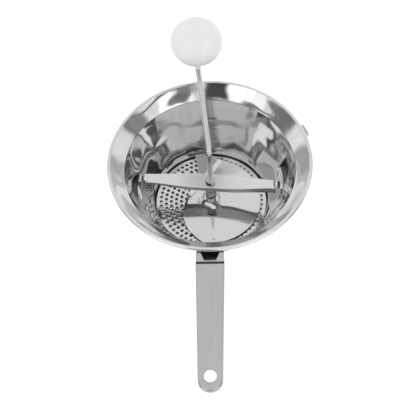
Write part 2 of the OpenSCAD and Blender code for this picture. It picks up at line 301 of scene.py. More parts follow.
def fill(loops, inner_points=()):
    """Triangles over the area between an outer loop and its round holes."""
    points, edges, loop_of = [], [], []
    for number, loop in enumerate(loops):
        start = len(points)
        edges += [(start + i, start + (i + 1) % len(loop)) for i in range(len(loop))]
        points += loop
        loop_of += [number] * len(loop)
    points += list(inner_points)
    loop_of += [0] * len(inner_points)
    made = delaunay_2d_cdt(points, edges, [], 1, 1e-9)
    number_of = [loop_of[sources[0]] for sources in made[3]]
    faces = []
    for face in made[2]:
        numbers = {number_of[i] for i in face}
        if len(numbers) > 1 or 0 in numbers:
            faces.append(face)
    return made[0], faces


def sheet_between(loops, levels, inner_points=()):
    """A plate from loops seen from above. levels lists (inset, height) from the top face, round
    the edge, to the bottom face; each level is one ring of every loop."""
    parts = []
    for inset_by, z in (levels[0], levels[-1]):
        points, faces = fill([inset(loop, inset_by) for loop in loops], inner_points)
        parts.append(([Vector((*p, z)) for p in points], faces))
    for loop in loops:
        rings = [[Vector((*p, z)) for p in inset(loop, d)] for d, z in levels]
        parts.append(loft(rings, capped=False))
    return merge(parts)


def paint_faces(obj, material, chosen):
    """Gives the faces for which chosen(centre, normal) is true another material."""
    obj.data.materials.append(material)
    number = len(obj.data.materials) - 1
    for face in obj.data.polygons:
        if chosen(face.center, face.normal):
            face.material_index = number


def dress(obj, slot, *nodes):
    """obj stands for these nodes and rides on their body; slot is not used."""
    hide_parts(*nodes)
    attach(obj, BODY_OF[nodes[0]])
    return obj


# ---------------------------------------------------------------- materials

class Nodes:
    """A node tree, with short ways to add and join nodes."""

    def __init__(self, tree):
        self.tree = tree

    def add(self, kind, inputs=None, **settings):
        node = self.tree.nodes.new(kind)
        for key, value in settings.items():
            setattr(node, key, value)
        for key, value in (inputs or {}).items():
            self.put(value, node.inputs[key])
        return node

    def put(self, value, socket):
        if isinstance(value, bpy.types.NodeSocket):
            self.tree.links.new(value, socket)
        else:
            socket.default_value = value

    def math(self, operation, a, b=0.0):
        return self.add("ShaderNodeMath", {0: a, 1: b}, operation=operation).outputs[0]

    def scaled(self, vector, scale):
        return self.add("ShaderNodeMapping", {"Vector": vector, "Scale": scale}).outputs[0]

    def around(self, vector, turns, fine):
        """Coordinates that run slowly round the Z axis and fast across it, for spun marks."""
        flat = self.add("ShaderNodeVectorMath", {0: vector, 1: (1, 1, 0)}, operation="MULTIPLY")
        unit = self.add("ShaderNodeVectorMath", {0: flat.outputs[0]}, operation="NORMALIZE")
        radius = self.add("ShaderNodeVectorMath", {0: flat.outputs[0]}, operation="LENGTH")
        split = self.add("ShaderNodeSeparateXYZ", {0: vector})
        level = self.math("ADD", radius.outputs["Value"], split.outputs[2])
        level = self.math("MULTIPLY", level, fine)
        slow = self.add(
            "ShaderNodeVectorMath", {0: unit.outputs[0], 1: (turns, turns, 0)}, operation="MULTIPLY"
        )
        lift = self.add("ShaderNodeCombineXYZ", {2: level})
        both = self.add("ShaderNodeVectorMath", {0: slow.outputs[0], 1: lift.outputs[0]})
        return both.outputs[0]

    def noise(self, vector, scale=1.0, detail=3.0, roughness=0.55):
        made = self.add(
            "ShaderNodeTexNoise",
            {"Vector": vector, "Scale": scale, "Detail": detail, "Roughness": roughness},
        )
        return made.outputs["Fac"]

    def ranged(self, value, low, high, start=0.3, end=0.7):
        made = self.add(
            "ShaderNodeMapRange",
            {"Value": value, "From Min": start, "From Max": end, "To Min": low, "To Max": high},
        )
        return made.outputs[0]

    def colours(self, value, dark, light):
        made = self.add("ShaderNodeMix", {0: value, 6: (*dark, 1), 7: (*light, 1)}, data_type="RGBA")
        return made.outputs[2]


class MaterialNodes(Nodes):
    """The node tree of a new material."""

    def __init__(self, name):
        self.material = bpy.data.materials.new(name)
        self.material.use_nodes = True
        super().__init__(self.material.node_tree)
        self.shader = self.tree.nodes["Principled BSDF"]

    def position(self):
        return self.add("ShaderNodeTexCoord").outputs["Object"]

    def bumps(self, *layers):
        """Bump layers (height, strength, distance), each on top of the one before."""
        normal = None
        for height, strength, distance in layers:
            inputs = {"Height": height, "Strength": strength, "Distance": distance}
            if normal is not None:
                inputs["Normal"] = normal
            normal = self.add("ShaderNodeBump", inputs).outputs[0]
        self.put(normal, self.shader.inputs["Normal"])


def side_dents(n, where):
    """Dents in the bowl's cone beside its pockets, which fade out toward its back and front."""
    flat = n.add("ShaderNodeVectorMath", {0: where, 1: (1, 1, 0)}, operation="MULTIPLY")
    radius = n.add("ShaderNodeVectorMath", {0: flat.outputs[0]}, operation="LENGTH")
    split = n.add("ShaderNodeSeparateXYZ", {0: where})
    share = n.math("DIVIDE", n.math("ABSOLUTE", split.outputs[0]), radius.outputs["Value"])
    below = n.ranged(split.outputs[2], 1.0, 0.0, SHOULDER_Z - 6 * MM, SHOULDER_Z)
    strength = n.math("MULTIPLY", below, n.ranged(share, 0.0, 1.0, 0.35, 0.8))
    return n.noise(where, 34.0, 0.3), strength, 3.8 * MM


def flare_ripples(n, where):
    """Ripples that run round the bowl's flare, from pressing the rim."""
    height = n.add("ShaderNodeSeparateXYZ", {0: where}).outputs[2]
    above = n.ranged(height, 0.0, 1.0, SHOULDER_Z, SHOULDER_Z + 2 * MM)
    return n.noise(n.around(where, 2.6, 45.0), 1.0, 0.0), above, 1.0 * MM


def metal(name, dark, light, rough, direction=None, turns=2.0, fine=900.0, brushing=0.15,
          waviness=0.2, anisotropy=0.0, purity=1.0, dents=()):
    """Steel with brushing, faint stains, uneven gloss and shallow waves in its surface.
    direction None is spun round Z, where turns and fine set how fast the marks change round
    it and across it; otherwise direction scales the brushing along X, Y and Z. purity below 1
    adds a dull haze, and dents are functions that give more bump layers."""
    n = MaterialNodes(name)
    where = n.position()
    if direction is None:
        lines = n.noise(n.around(where, turns, fine), 1.0, 4.0)
    else:
        lines = n.noise(n.scaled(where, direction), 1.0, 4.0)
    stains = n.noise(where, 45.0, 4.0)
    specks = n.noise(where, 1400.0, 2.0)
    waves = n.noise(where, 26.0, 1.0)
    tone = n.math("ADD", n.math("MULTIPLY", lines, 0.6), n.math("MULTIPLY", stains, 0.4))
    n.put(n.colours(n.ranged(tone, 0, 1), dark, light), n.shader.inputs["Base Color"])
    gloss = n.math("ADD", n.math("MULTIPLY", lines, 0.5), n.math("MULTIPLY", stains, 0.3))
    gloss = n.math("ADD", gloss, n.math("MULTIPLY", specks, 0.2))
    n.put(n.ranged(gloss, rough[0], rough[1]), n.shader.inputs["Roughness"])
    n.shader.inputs["Metallic"].default_value = purity
    if anisotropy:
        n.shader.inputs["Anisotropic"].default_value = anisotropy
        tangent = n.add("ShaderNodeTangent", direction_type="RADIAL", axis="Z")
        n.put(tangent.outputs[0], n.shader.inputs["Tangent"])
    pressed = [dent(n, where) for dent in dents]
    n.bumps((waves, waviness, 2.0 * MM), *pressed, (lines, brushing, 0.05 * MM),
            (specks, 0.05, 0.02 * MM))
    return n.material


def plastic(name):
    """Glossy white moulded plastic with a faint orange-peel skin and fine handling marks."""
    n = MaterialNodes(name)
    where = n.position()
    stains = n.noise(where, 60.0, 3.0)
    peel = n.noise(where, 900.0, 2.0)
    scratches = n.noise(n.scaled(where, (300.0, 2500.0, 300.0)), 1.0, 3.0)
    n.put(
        n.colours(n.ranged(stains, 0, 1), (0.77, 0.77, 0.765), (0.81, 0.81, 0.805)),
        n.shader.inputs["Base Color"],
    )
    n.put(n.ranged(scratches, 0.24, 0.36), n.shader.inputs["Roughness"])
    n.shader.inputs["Subsurface Weight"].default_value = 0.15
    n.shader.inputs["Subsurface Radius"].default_value = (0.004, 0.004, 0.004)
    n.bumps((peel, 0.06, 0.05 * MM), (scratches, 0.03, 0.02 * MM))
    return n.material


STEEL_DARK = (0.54, 0.54, 0.54)
STEEL_LIGHT = (0.62, 0.62, 0.62)
BOWL_STEEL = metal("bowl_steel", (0.61, 0.61, 0.605), (0.68, 0.68, 0.675), (0.03, 0.10),
                   waviness=0.3, anisotropy=0.1, purity=0.93, dents=(side_dents, flare_ripples))
OUTER_STEEL = metal("outer_steel", (0.36, 0.36, 0.36), (0.46, 0.46, 0.455), (0.16, 0.3), turns=5.0,
                    fine=1400.0, brushing=0.2, waviness=0.15, anisotropy=0.3)
DISC_STEEL = metal("disc_steel", STEEL_DARK, STEEL_LIGHT, (0.08, 0.2), direction=(60, 600, 60))
BAR_STEEL = metal("bar_steel", (0.60, 0.60, 0.595), (0.65, 0.65, 0.645), (0.22, 0.3),
                  direction=(40, 900, 900), brushing=0.06, waviness=0.05)
BLADE_STEEL = metal("blade_steel", STEEL_DARK, STEEL_LIGHT, (0.05, 0.1), direction=(50, 900, 900),
                    brushing=0.05, waviness=0.2)
ROD_STEEL = metal("rod_steel", STEEL_DARK, STEEL_LIGHT, (0.10, 0.2), fine=2500.0, waviness=0.0)
SPRING_STEEL = metal("spring_steel", (0.42, 0.42, 0.43), (0.56, 0.56, 0.56), (0.15, 0.3),
                     fine=3000.0, waviness=0.0)
SATIN_STEEL = metal("satin_steel", (0.40, 0.40, 0.395), (0.47, 0.47, 0.465), (0.2, 0.28),
                    direction=(1500, 30, 1500), brushing=0.05, waviness=0.1)
SMALL_STEEL = metal("small_steel", STEEL_DARK, STEEL_LIGHT, (0.16, 0.3), fine=3000.0, waviness=0.0)
# Near-black steel that paints shade into the bowl's crease, groove and pockets, the disc's holes, the
# eyelet's side and the handle's groove.
PAINTED_SHADE_STEEL = metal("painted_shade_steel", (0.06, 0.06, 0.06), (0.14, 0.14, 0.14), (0.4, 0.55), waviness=0.1)
WHITE_PLASTIC = plastic("white_plastic")


# ---------------------------------------------------------------- bowl

def wall_in(z):
    """The cone's inner radius at this height."""
    return NECK_R + (z - NECK_Z) * CONE_SLOPE


def pocket_offset(angle):
    """The angle from the nearer end of the bar, where the bar rests."""
    return (angle - BAR_YAW + math.pi / 2) % math.pi - math.pi / 2


def pocket_share(angle, z, grow):
    """How far the wall has gone out into a pocket at this place, from 0 to 1. The pocket spans
    the tongue's whole turn, and its roof comes down over the tongue's resting place."""
    off = pocket_offset(angle)
    side = POCKET_SIDE * POCKET_R + grow
    start = off * POCKET_R + side
    end = (BAR_TURN - off) * POCKET_R + side
    low = z - POCKET_LOW + grow
    high = (ROOF_Z - z) * math.cos(ROOF_SLOPE) + off * POCKET_R * math.sin(ROOF_SLOPE) + grow
    share = smooth(low / POCKET_SILL + 0.2)
    for inside in (start, end, high):
        share *= smooth(inside / POCKET_EDGE + 0.5)
    return share


def wall_levels():
    """Heights up the cone, close together beside the pockets."""
    below = [(18 + 4 * k) * MM for k in range(5)]
    beside_pocket = [(35.2 + 0.4 * k) * MM for k in range(52)]
    return below + beside_pocket + [59 * MM, 62 * MM]


def pairs(outline):
    """The outline's points as plain (x, y)."""
    return [(p.x, p.y) for p in outline]


def bowl_inside(levels, bead):
    """(radius, z) from the bottom lip up the collar, the cone and the flare to the bead."""
    foot = rounded([(LIP_R, 0, 0.3 * MM), (LIP_R, SHEET, 0.3 * MM), (COLLAR_R, SHEET, 0.8 * MM),
                    (COLLAR_R, GROOVE_TOP, 0), (COLLAR_R, COLLAR_TOP, 0.8 * MM),
                    (NECK_R, NECK_Z, 0.8 * MM), (wall_in(levels[0]), levels[0], 0)], closed=False)
    crease = rounded([(wall_in(levels[-1]), levels[-1], 0), (SHOULDER_R, SHOULDER_Z, 1.2 * MM),
                      (bead.x - 1.6 * MM, bead.y + 1.6 * MM, 0)], closed=False, step=5)[1:-1]
    flare_end = bead + polar(BEAD_R, math.radians(135)).xy
    flare = [crease[-1].lerp(flare_end, k / 8) for k in range(1, 8)]
    return pairs(foot[1:-1]) + [(wall_in(z), z) for z in levels] + pairs(crease + flare)


def bowl_outside(levels, bead_end):
    """(radius, z) from the end of the bead's curl down the outside and under the foot."""
    back = rounded([(*bead_end, 0), (SHOULDER_R + SKIN, SHOULDER_Z - 0.3 * MM, 3.0 * MM),
                    (wall_in(levels[-1]) + SKIN, levels[-1], 0)], closed=False, step=5)
    wall = [(wall_in(z) + SKIN, z) for z in reversed(levels)]
    base = rounded([(*wall[-1], 0), (NECK_R + SKIN, NECK_Z, 1.5 * MM),
                    (COLLAR_R + SHEET, COLLAR_TOP, 1.2 * MM), (COLLAR_R + SHEET, 0, 0.8 * MM),
                    (LIP_R, 0, 0.3 * MM)], closed=False)
    return pairs(back[1:-1]) + wall + pairs(base[1:])


def bowl_profile():
    """The bowl's section as (radius, z, skin): skin is 0 on the inside and the bead, and the
    sheet's thickness across the cone on the outside."""
    levels = wall_levels()
    bead = Vector((RIM_R - BEAD_R, RIM_Z - BEAD_R))
    curl = [bead + polar(BEAD_R, math.radians(135 - 9 * k)).xy for k in range(31)]
    inside = bowl_inside(levels, bead) + pairs(curl)
    outside = bowl_outside(levels, curl[-1])
    return [(r, z, 0.0) for r, z in inside] + [(r, z, SKIN) for r, z in outside]


def bowl_angles():
    """One degree apart round the bowl, and a third of a degree beside the two pockets."""
    margin = POCKET_SIDE + math.radians(3)
    angles = []
    for third in range(1080):
        angle = math.radians(third / 3)
        if third % 3 == 0 or -margin < pocket_offset(angle) < BAR_TURN + margin:
            angles.append(angle)
    return angles


def in_painted_shade(centre, normal):
    """Where shade is painted with the dark steel: the crease, the groove and the pockets."""
    radius = centre.xy.length
    if abs(centre.z - SHOULDER_Z) < 0.25 * MM:
        return radius < SHOULDER_R + 0.3 * MM
    if 0.2 * MM < centre.z < GROOVE_TOP:
        return LIP_R + 0.5 * MM < radius < COLLAR_R + 0.3 * MM
    inner = radius < POCKET_R + 0.3 * MM
    return inner and pocket_share(math.atan2(centre.y, centre.x), centre.z, 0.0) > 0.4


def is_outside(centre, normal):
    """The bowl's outer skin below its rolled rim, which is brushed and not polished."""
    return normal.xy.dot(centre.xy) > 0.1 * centre.xy.length and centre.z < RIM_Z - 2 * BEAD_R


def build_bowl():
    """The profile turned round the axis, with its wall pushed out at the two pockets."""
    profile = bowl_profile()
    angles = bowl_angles()
    verts = []
    for r, z, skin in profile:
        for a in angles:
            share = pocket_share(a, z, skin)
            out = r + (POCKET_R + skin - r) * share if r < POCKET_R + skin else r
            verts.append(polar(out, a, z))
    faces = grid_faces(len(profile), len(angles), True, True)
    bowl = make_object("bowl_shell", verts, faces, BOWL_STEEL, sharp=50)
    paint_faces(bowl, OUTER_STEEL, is_outside)
    # Painted shade: the crease, the groove under the disc and the pockets get the dark steel.
    paint_faces(bowl, PAINTED_SHADE_STEEL, in_painted_shade)
    dress(bowl, "polished_steel", "bowl")


# ---------------------------------------------------------------- perforated disc

def hole_loops():
    """Rings of round holes, with six more holes in each than in the ring inside it."""
    centres = [
        polar(ring * HOLE_PITCH, (i + ring / 2) * math.pi / 3 / ring).xy
        for ring in HOLE_RINGS
        for i in range(6 * ring)
    ]
    return [circle(HOLE_R + 0.8 * MM, 14, centre, True) for centre in centres]


def punched_hole(loop, top):
    """A hole's wall, with the burr that punching raises round its upper edge."""
    burr, bottom = 0.35 * MM, top - DISC_THICK
    rise = [(0.0, top), (0.45, top + 0.5 * burr), (0.7, top + burr), (0.8, top + 0.6 * burr),
            (0.8, top - 1.8 * MM), (0.6, top - 1.8 * MM), (0.45, bottom - 0.1 * MM), (0.0, bottom)]
    return loft([[Vector((*p, z)) for p in inset(loop, -d * MM)] for d, z in rise], capped=False)


def pilot_wall(loop, top):
    """The wall of the hole in the middle, which has a small chamfer."""
    bottom = top - DISC_THICK
    steps = [(0, top), (0.2, top - 0.2 * MM), (0.2, bottom), (0, bottom)]
    return loft([[Vector((*p, z)) for p in inset(loop, -d * MM)] for d, z in steps], capped=False)


def disc_skirt(top, low):
    """The disc's rounded edge and its turned-down skirt."""
    start, bottom = DISC_R - 1.2 * MM, top - DISC_THICK
    section = rounded([(start, top, 0), (DISC_R, top, 1.1 * MM), (DISC_R, low, 0.2 * MM),
                       (DISC_R - DISC_THICK, low, 0.2 * MM), (DISC_R - DISC_THICK, bottom, 0.3 * MM),
                       (start, bottom, 0)], closed=False)
    return loft([[polar(p.x, 2 * math.pi * k / 180, p.y) for k in range(180)] for p in section],
                capped=False)


def build_disc():
    """The perforated plate: two faces, a wall in every hole, and a skirt round the edge."""
    low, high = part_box("strainer_disc")
    holes = hole_loops()
    pilot = circle(2.6 * MM, 32, (0, 0), True)
    parts = []
    for z in (high.z, high.z - DISC_THICK):
        points, faces = fill([circle(DISC_R - 1.2 * MM, 180), pilot, *holes])
        parts.append(([Vector((*p, z)) for p in points], faces))
    parts += [punched_hole(loop, high.z) for loop in holes]
    parts += [pilot_wall(pilot, high.z), disc_skirt(high.z, low.z)]
    disc = make_object("perforated_disc", *merge(parts), DISC_STEEL)
    # Painted shade: the walls of the holes, the middle hole's too, get the dark steel.
    paint_faces(disc, PAINTED_SHADE_STEEL, lambda centre, normal: (
        centre.xy.length < 10.5 * HOLE_PITCH and abs(normal.z) < 0.3))
    dress(disc, "polished_steel", "strainer_disc")


# ---------------------------------------------------------------- crossbar

def bar_half_width(x):
    """Half the bar's width at x, which tapers from its middle to its ends."""
    return 9.0 * MM - 3.5 * MM * smooth((abs(x) - 18 * MM) / (BAR_HALF - 18 * MM)) ** 0.9


def bar_section(x):
    """The bar across at x: a flat top with both edges turned down, unevenly deep."""
    half = bar_half_width(x)
    share = (x + BAR_HALF) / (2 * BAR_HALF)
    front = (3.0 + 5.0 * share) * MM
    rear = (8.0 - 5.0 * share) * MM
    t, r = 1.0 * MM, 0.9 * MM
    return rounded([(-half, 0, r), (half, 0, r), (half, -rear, 0.3 * MM), (half - t, -rear, 0.3 * MM),
                    (half - t, -t, 0.5 * MM), (t - half, -t, 0.5 * MM), (t - half, -front, 0.3 * MM),
                    (-half, -front, 0.3 * MM)], step=18)


def build_crossbar():
    """The strap, with a stepped-down tongue at each end that reaches into a pocket."""
    stations = 44
    xs = [BAR_HALF * (2 * k / stations - 1) for k in range(stations + 1)]
    sections = [[Vector((x, p.x, BAR_TOP + p.y)) for p in bar_section(x)] for x in xs]
    parts = [loft(sections)]
    for side in (1, -1):
        line = rounded([(BAR_HALF - 2 * MM, 0, 0), (BAR_HALF + 1 * MM, 0, 1.5 * MM),
                        (BAR_HALF + 4 * MM, -2.0 * MM, 1.5 * MM), (TONGUE_END, -3.4 * MM, 0)],
                       closed=False)
        path = [Vector((side * p.x, 0, BAR_TOP + p.y - 0.02 * MM)) for p in line]
        parts.append(loft(strip(path, lambda i: 8 * MM, 1.0 * MM, (0, side, 0))))
    verts, faces = merge(parts)
    turn = Matrix.Rotation(BAR_YAW, 3, "Z")
    bar = make_object("crossbar_strap", [turn @ v for v in verts], faces, BAR_STEEL)
    # Painted shade: the faces turned toward -Y, the front flange, get the darker satin steel.
    paint_faces(bar, SATIN_STEEL, lambda centre, normal: normal.y < -0.6)
    dress(bar, "polished_steel", "crossbar")


def build_eyelet():
    """The flanged sleeve round the rod, with a rolled upper edge."""
    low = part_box("bar_bush")[0]
    bore, top = ROD_R + 0.05 * MM, BAR_TOP + 2.0 * MM
    profile = rounded([(bore, low.z, 0.1 * MM), (6.4 * MM, low.z, 0.3 * MM),
                       (6.4 * MM, low.z + 1 * MM, 0.3 * MM), (4.2 * MM, low.z + 1 * MM, 0),
                       (4.2 * MM, BAR_TOP, 0), (5.2 * MM, BAR_TOP, 0),
                       (5.2 * MM, BAR_TOP + 0.1 * MM, 0.05 * MM), (4.4 * MM, BAR_TOP + 0.1 * MM, 0),
                       (4.5 * MM, top, 0.3 * MM), (3.7 * MM, top, 0.25 * MM),
                       (3.3 * MM, top - 0.9 * MM, 0.1 * MM), (bore, top - 1.0 * MM, 0)])
    bush = lathe("bar_eyelet", profile, SMALL_STEEL)
    # Painted shade: the outer wall of the rolled collar, on its left half only, gets the dark steel.
    paint_faces(bush, PAINTED_SHADE_STEEL, lambda centre, normal: (
        centre.x < 0.5 * MM and centre.xy.length > 4.3 * MM
        and BAR_TOP - 0.1 * MM < centre.z < top - 0.3 * MM))
    dress(bush, "polished_steel", "bar_bush")


# ---------------------------------------------------------------- rod, blade and spring

def rod_path():
    """The rod's middle line in its own plane, as (reach, z), with both bends rounded."""
    corner_z = RIM_Z + 12.5 * MM
    upper_z = KNOB_LOW.z - 16.0 * MM
    return rounded([(0, 0.9 * MM, 0), (0, corner_z, 8 * MM), (CRANK_REACH, upper_z, 8 * MM),
                    (CRANK_REACH, KNOB_LOW.z - 1.4 * MM, 0)], closed=False, step=4)


def build_rod():
    """The bent rod: a thinner tip in the hub, and a pin on its upper end inside the knob."""
    line = rod_path()
    tip = [line[0] + Vector((0, rise * MM)) for rise in (0, 0.5, 5.4, 6.2)]
    points = tip + line[1:-1] + [line[-1] - Vector((0, 0.5 * MM)), line[-1]]
    radii = [1.5 * MM, 2.0 * MM, 2.0 * MM] + [ROD_R] * len(line) + [ROD_R - 0.4 * MM]
    path = [polar(p.x, CRANK_YAW, p.y) for p in points]
    verts, faces = loft(tube_sections(path, radii, 48, polar(1, CRANK_YAW)))
    end = path[-1]
    pin = [end + Vector((0, 0, rise * MM)) for rise in (-1, 23.5, 23.9)]
    more = loft(tube_sections(pin, [2.3 * MM, 2.3 * MM, 1.9 * MM], 32, (1, 0, 0)))
    rod = make_object("crank_handle_rod", *merge([(verts, faces), more]), ROD_STEEL)
    dress(rod, "polished_steel", "crank_rod")


def blade_height(x, y):
    """The blade's middle surface: a shallow dish with a boss round the hub that reaches out
    furthest at one yaw, and a lip folded up beyond a line square to the lip's yaw."""
    past = x * math.cos(LIP_YAW) + y * math.sin(LIP_YAW) - LIP_START
    bend = 3.0 * MM
    if past > bend:
        rise = past
    else:
        rise = max(past + bend, 0.0) ** 2 / (4 * bend)
    radius = math.hypot(x, y)
    dish = DISH_H * smooth((DISH_R - radius) / (DISH_R - 10 * MM))
    facing = math.cos(math.atan2(y, x) - BOSS_YAW)
    foot = BOSS_R - 4.5 * MM * (1 - smooth((facing - 0.75) / 0.25))
    share = min(max((foot - radius) / (foot - BOSS_TOP_R), 0.0), 1.0)
    boss = (BOSS_H - DISH_H) * (0.5 * share + 0.5 * smooth(share))
    return BLADE_Z + rise * math.tan(LIP_SLOPE) + dish + boss


def blade_outline():
    """The round edge, then the feed side's curve back to its start, anticlockwise."""
    first, last = math.radians(-100), math.radians(104)
    arc = [polar(BLADE_R, first + (last - first) * k / 120).xy for k in range(121)]
    feed = [(-16.8, 49.2, 4), (-16, 43.5, 6), (-13.4, 38, 10), (-13.9, 32.5, 12), (-17, 22, 12),
            (-21, 13.5, 16), (-26.8, -1, 20), (-29.6, -11, 18), (-29.4, -21.5, 18), (-25, -35, 18),
            (-16, -45.6, 18)]
    cut = rounded([(arc[-1].x, arc[-1].y, 0), *((x * MM, y * MM, r * MM) for x, y, r in feed),
                   (arc[0].x, arc[0].y, 0)], closed=False, step=4)
    return arc + cut[1:-1]


def blade_side(y):
    """The feed side's x at this y, a little to its right where it curves."""
    if y > 22 * MM:
        return -13.4 * MM
    return (-13.4 - 16.2 * smooth((22 * MM - y) / (30 * MM))) * MM


def blade_inner_points():
    """Points for the plate's triangles: rings round the hub, then rows along the fold."""
    inner = [p for r in (5, 6, 7, 8, 9.5, 11, 12.5, 14, 15.5, 18) for p in circle(r * MM, 60)]
    for i in range(-48, 22):
        for j in range(-30, 31):
            spot = polar(LIP_START + i * 1.5 * MM, LIP_YAW).xy
            spot += polar(j * 1.75 * MM, LIP_YAW + math.pi / 2).xy
            if 19 * MM < spot.length < BLADE_R - 2 * MM and spot.x > blade_side(spot.y) + 2 * MM:
                inner.append(spot)
    return inner


def build_blade():
    """A flat plate with rounded edges, lifted at every point to the blade's height."""
    edge, half = 0.25 * MM, 0.5 * MM
    levels = [(edge, half), (0.08 * MM, half - 0.08 * MM), (0, half - edge), (0, edge - half),
              (0.08 * MM, 0.08 * MM - half), (edge, -half)]
    hole = circle(3.6 * MM, 32, (0, 0), True)
    verts, faces = sheet_between([blade_outline(), hole], levels, blade_inner_points())
    verts = [Vector((v.x, v.y, blade_height(v.x, v.y) + v.z)) for v in verts]
    blade = make_object("blade_plate", verts, faces, BLADE_STEEL)
    dress(blade, "polished_steel", "blade")


def build_spring():
    """A coil whose turns lie closer together toward both ends."""
    low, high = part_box("spring")
    wire, radius, turns, steps = 0.7 * MM, 4.7 * MM, 7.0, 24
    bottom, top = low.z + wire, high.z - wire
    path = []
    for k in range(int(turns * steps) + 1):
        t = k / (turns * steps)
        ease = smooth(t) * 0.45 + t * 0.55
        path.append(polar(radius, 2 * math.pi * k / steps, bottom + (top - bottom) * ease))
    sections = tube_sections(path, [wire] * len(path), 12, (1, 0, 0))
    spring = make_object("coil_spring", *loft(sections), SPRING_STEEL)
    dress(spring, "spring_steel", "spring")
    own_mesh(spring)


# ---------------------------------------------------------------- knob

def build_knob():
    """A squared ball over a short sleeve round the pin."""
    centre = (KNOB_LOW + KNOB_HIGH) / 2
    radius = (KNOB_HIGH.x - KNOB_LOW.x) / 2
    half = (KNOB_HIGH.z - KNOB_LOW.z) / 2
    power = 2 / KNOB_SQUARENESS
    profile = [(6.0 * MM, KNOB_LOW.z + 10 * MM), (6.0 * MM, KNOB_LOW.z + 0.4 * MM),
               (6.6 * MM, KNOB_LOW.z)]
    for k in range(97):
        a = math.radians(-72 + 162 * k / 96)
        r = radius * max(math.cos(a), 0) ** power
        z = centre.z + half * math.copysign(abs(math.sin(a)) ** power, math.sin(a))
        profile.append((r, max(z, KNOB_LOW.z)))
    knob = lathe("knob_cap", profile, WHITE_PLASTIC, centre.xy, 128, closed=False)
    dress(knob, "white_plastic", "knob")


# ---------------------------------------------------------------- handle and hooks

def handle_outline(half_start, half_end, start, tip):
    """The handle from above: two long sides and a round free end, anticlockwise."""
    middle = tip - half_end
    arc = [
        Vector((0, -middle)) + polar(half_end, math.radians(180 + 180 * k / 48)).xy
        for k in range(49)
    ]
    rows = 30
    down = [Vector((-half_start, -start)).lerp(arc[0], k / rows) for k in range(rows)]
    up = [arc[-1].lerp(Vector((half_start, -start)), k / rows) for k in range(1, rows + 1)]
    return down + arc + up


def turned_edge():
    """(inset, z) from the strap's upper face round its turned-down edge to its lower face."""
    r, top, bottom = 2.0 * MM, HANDLE_TOP, HANDLE_TOP - 4.0 * MM
    t, ease = HANDLE_SHEET, 0.3 * MM
    bend = [(r - r * math.sin(a), top - r + r * math.cos(a))
            for a in (math.radians(15 * k) for k in range(7))]
    inner_bend = [(t + (r - t) * (1 - math.sin(a)), top - r + (r - t) * math.cos(a))
                  for a in (math.radians(90 - 30 * k) for k in range(4))]
    edge = [(0, bottom + ease), (ease, bottom), (t - ease, bottom), (t, bottom + ease)]
    return bend + edge + inner_bend


def handle_strap():
    """The strap's two faces, its turned-down edge and the wall of its hanging hole."""
    tip = -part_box("handle")[0].y
    top = HANDLE_TOP
    outline = handle_outline(13.8 * MM, 11.2 * MM, STRAP_START, tip)
    levels = turned_edge()
    hole_at = (0, 14.2 * MM - tip)
    parts = []
    for (d, z), rim in ((levels[0], 0.5 * MM), (levels[-1], 0.3 * MM)):
        points, faces = fill([inset(outline, d), circle(HANG_HOLE_R + rim, 48, hole_at, True)])
        parts.append(([Vector((*p, z)) for p in points], faces))
    parts.append(loft([[Vector((*p, z)) for p in inset(outline, d)] for d, z in levels], capped=False))
    hole = [(0.5, top), (0.22, top - 0.1 * MM), (0.05, top - 0.3 * MM), (0.0, top - 0.5 * MM),
            (0.0, top - HANDLE_SHEET + 0.3 * MM), (0.3, top - HANDLE_SHEET)]
    parts.append(loft([[Vector((*p, z)) for p in circle(HANG_HOLE_R + d * MM, 48, hole_at, True)]
                       for d, z in hole], capped=False))
    return merge(parts)


def in_neck_groove(centre, normal):
    """The narrow groove between the strap's end and the neck, where shade is painted with the dark
    steel.
    """
    across = abs(centre.x) < 13.3 * MM and centre.z < HANDLE_TOP - 1 * MM
    return across and -113.5 * MM < centre.y < -112.1 * MM


def build_handle():
    """The strap, its neck under the rim, and its foot on the cone."""
    parts = [handle_strap(), handle_neck(), handle_foot()]
    handle = make_object("handle_strap", *merge(parts), SATIN_STEEL)
    # Painted shade: the groove by the strap's end gets the dark steel.
    paint_faces(handle, PAINTED_SHADE_STEEL, in_neck_groove)
    dress(handle, "satin_steel", "handle")


def neck_height(x, y):
    """The neck's upper surface: a groove beside the strap's end, then level side strips with a
    wedge between them that slopes in."""
    top = RIM_Z - 4.1 * MM
    edge = 0.7 * MM
    along = y + 112.2 * MM
    slope = top - 0.6 * MM - along * 0.42
    half = 4.75 * MM + along * 0.385
    level = max(smooth((abs(x) - half) / edge + 0.5), smooth((1.5 * MM - along) / edge + 0.5))
    level *= smooth((10.4 * MM - along) / edge + 0.5)
    groove = 1.6 * MM * smooth(-along / (0.3 * MM))
    return slope + (top - slope) * level - groove


def handle_neck():
    """Sheet from the strap's end to the foot, with a wedge pressed into it."""
    rows, columns = 90, 80
    sections = []
    for r in range(rows + 1):
        y = (-113.8 + 26.1 * r / rows) * MM
        half = (13.5 - 0.7 * r / rows) * MM
        xs = [half * (2 * c / columns - 1) for c in range(columns + 1)]
        upper = [Vector((x, y, neck_height(x, y))) for x in xs]
        lower = [Vector((x, y, neck_height(x, y) - HANDLE_SHEET)) for x in reversed(xs)]
        sections.append(upper + lower)
    return loft(sections)


def handle_foot():
    """The foot that follows the cone down from the neck's inner end."""
    line = rounded([(88.5 * MM, neck_height(0, -88.5 * MM), 0), (85.5 * MM, 64 * MM, 3 * MM),
                    (wall_in(40 * MM) + SHEET + HANDLE_SHEET, 40 * MM, 0)], closed=False)
    path = [Vector((0, -p.x, p.y)) for p in line]
    return loft(strip(path, lambda i: 25.4 * MM, HANDLE_SHEET, (1, 0, 0)))


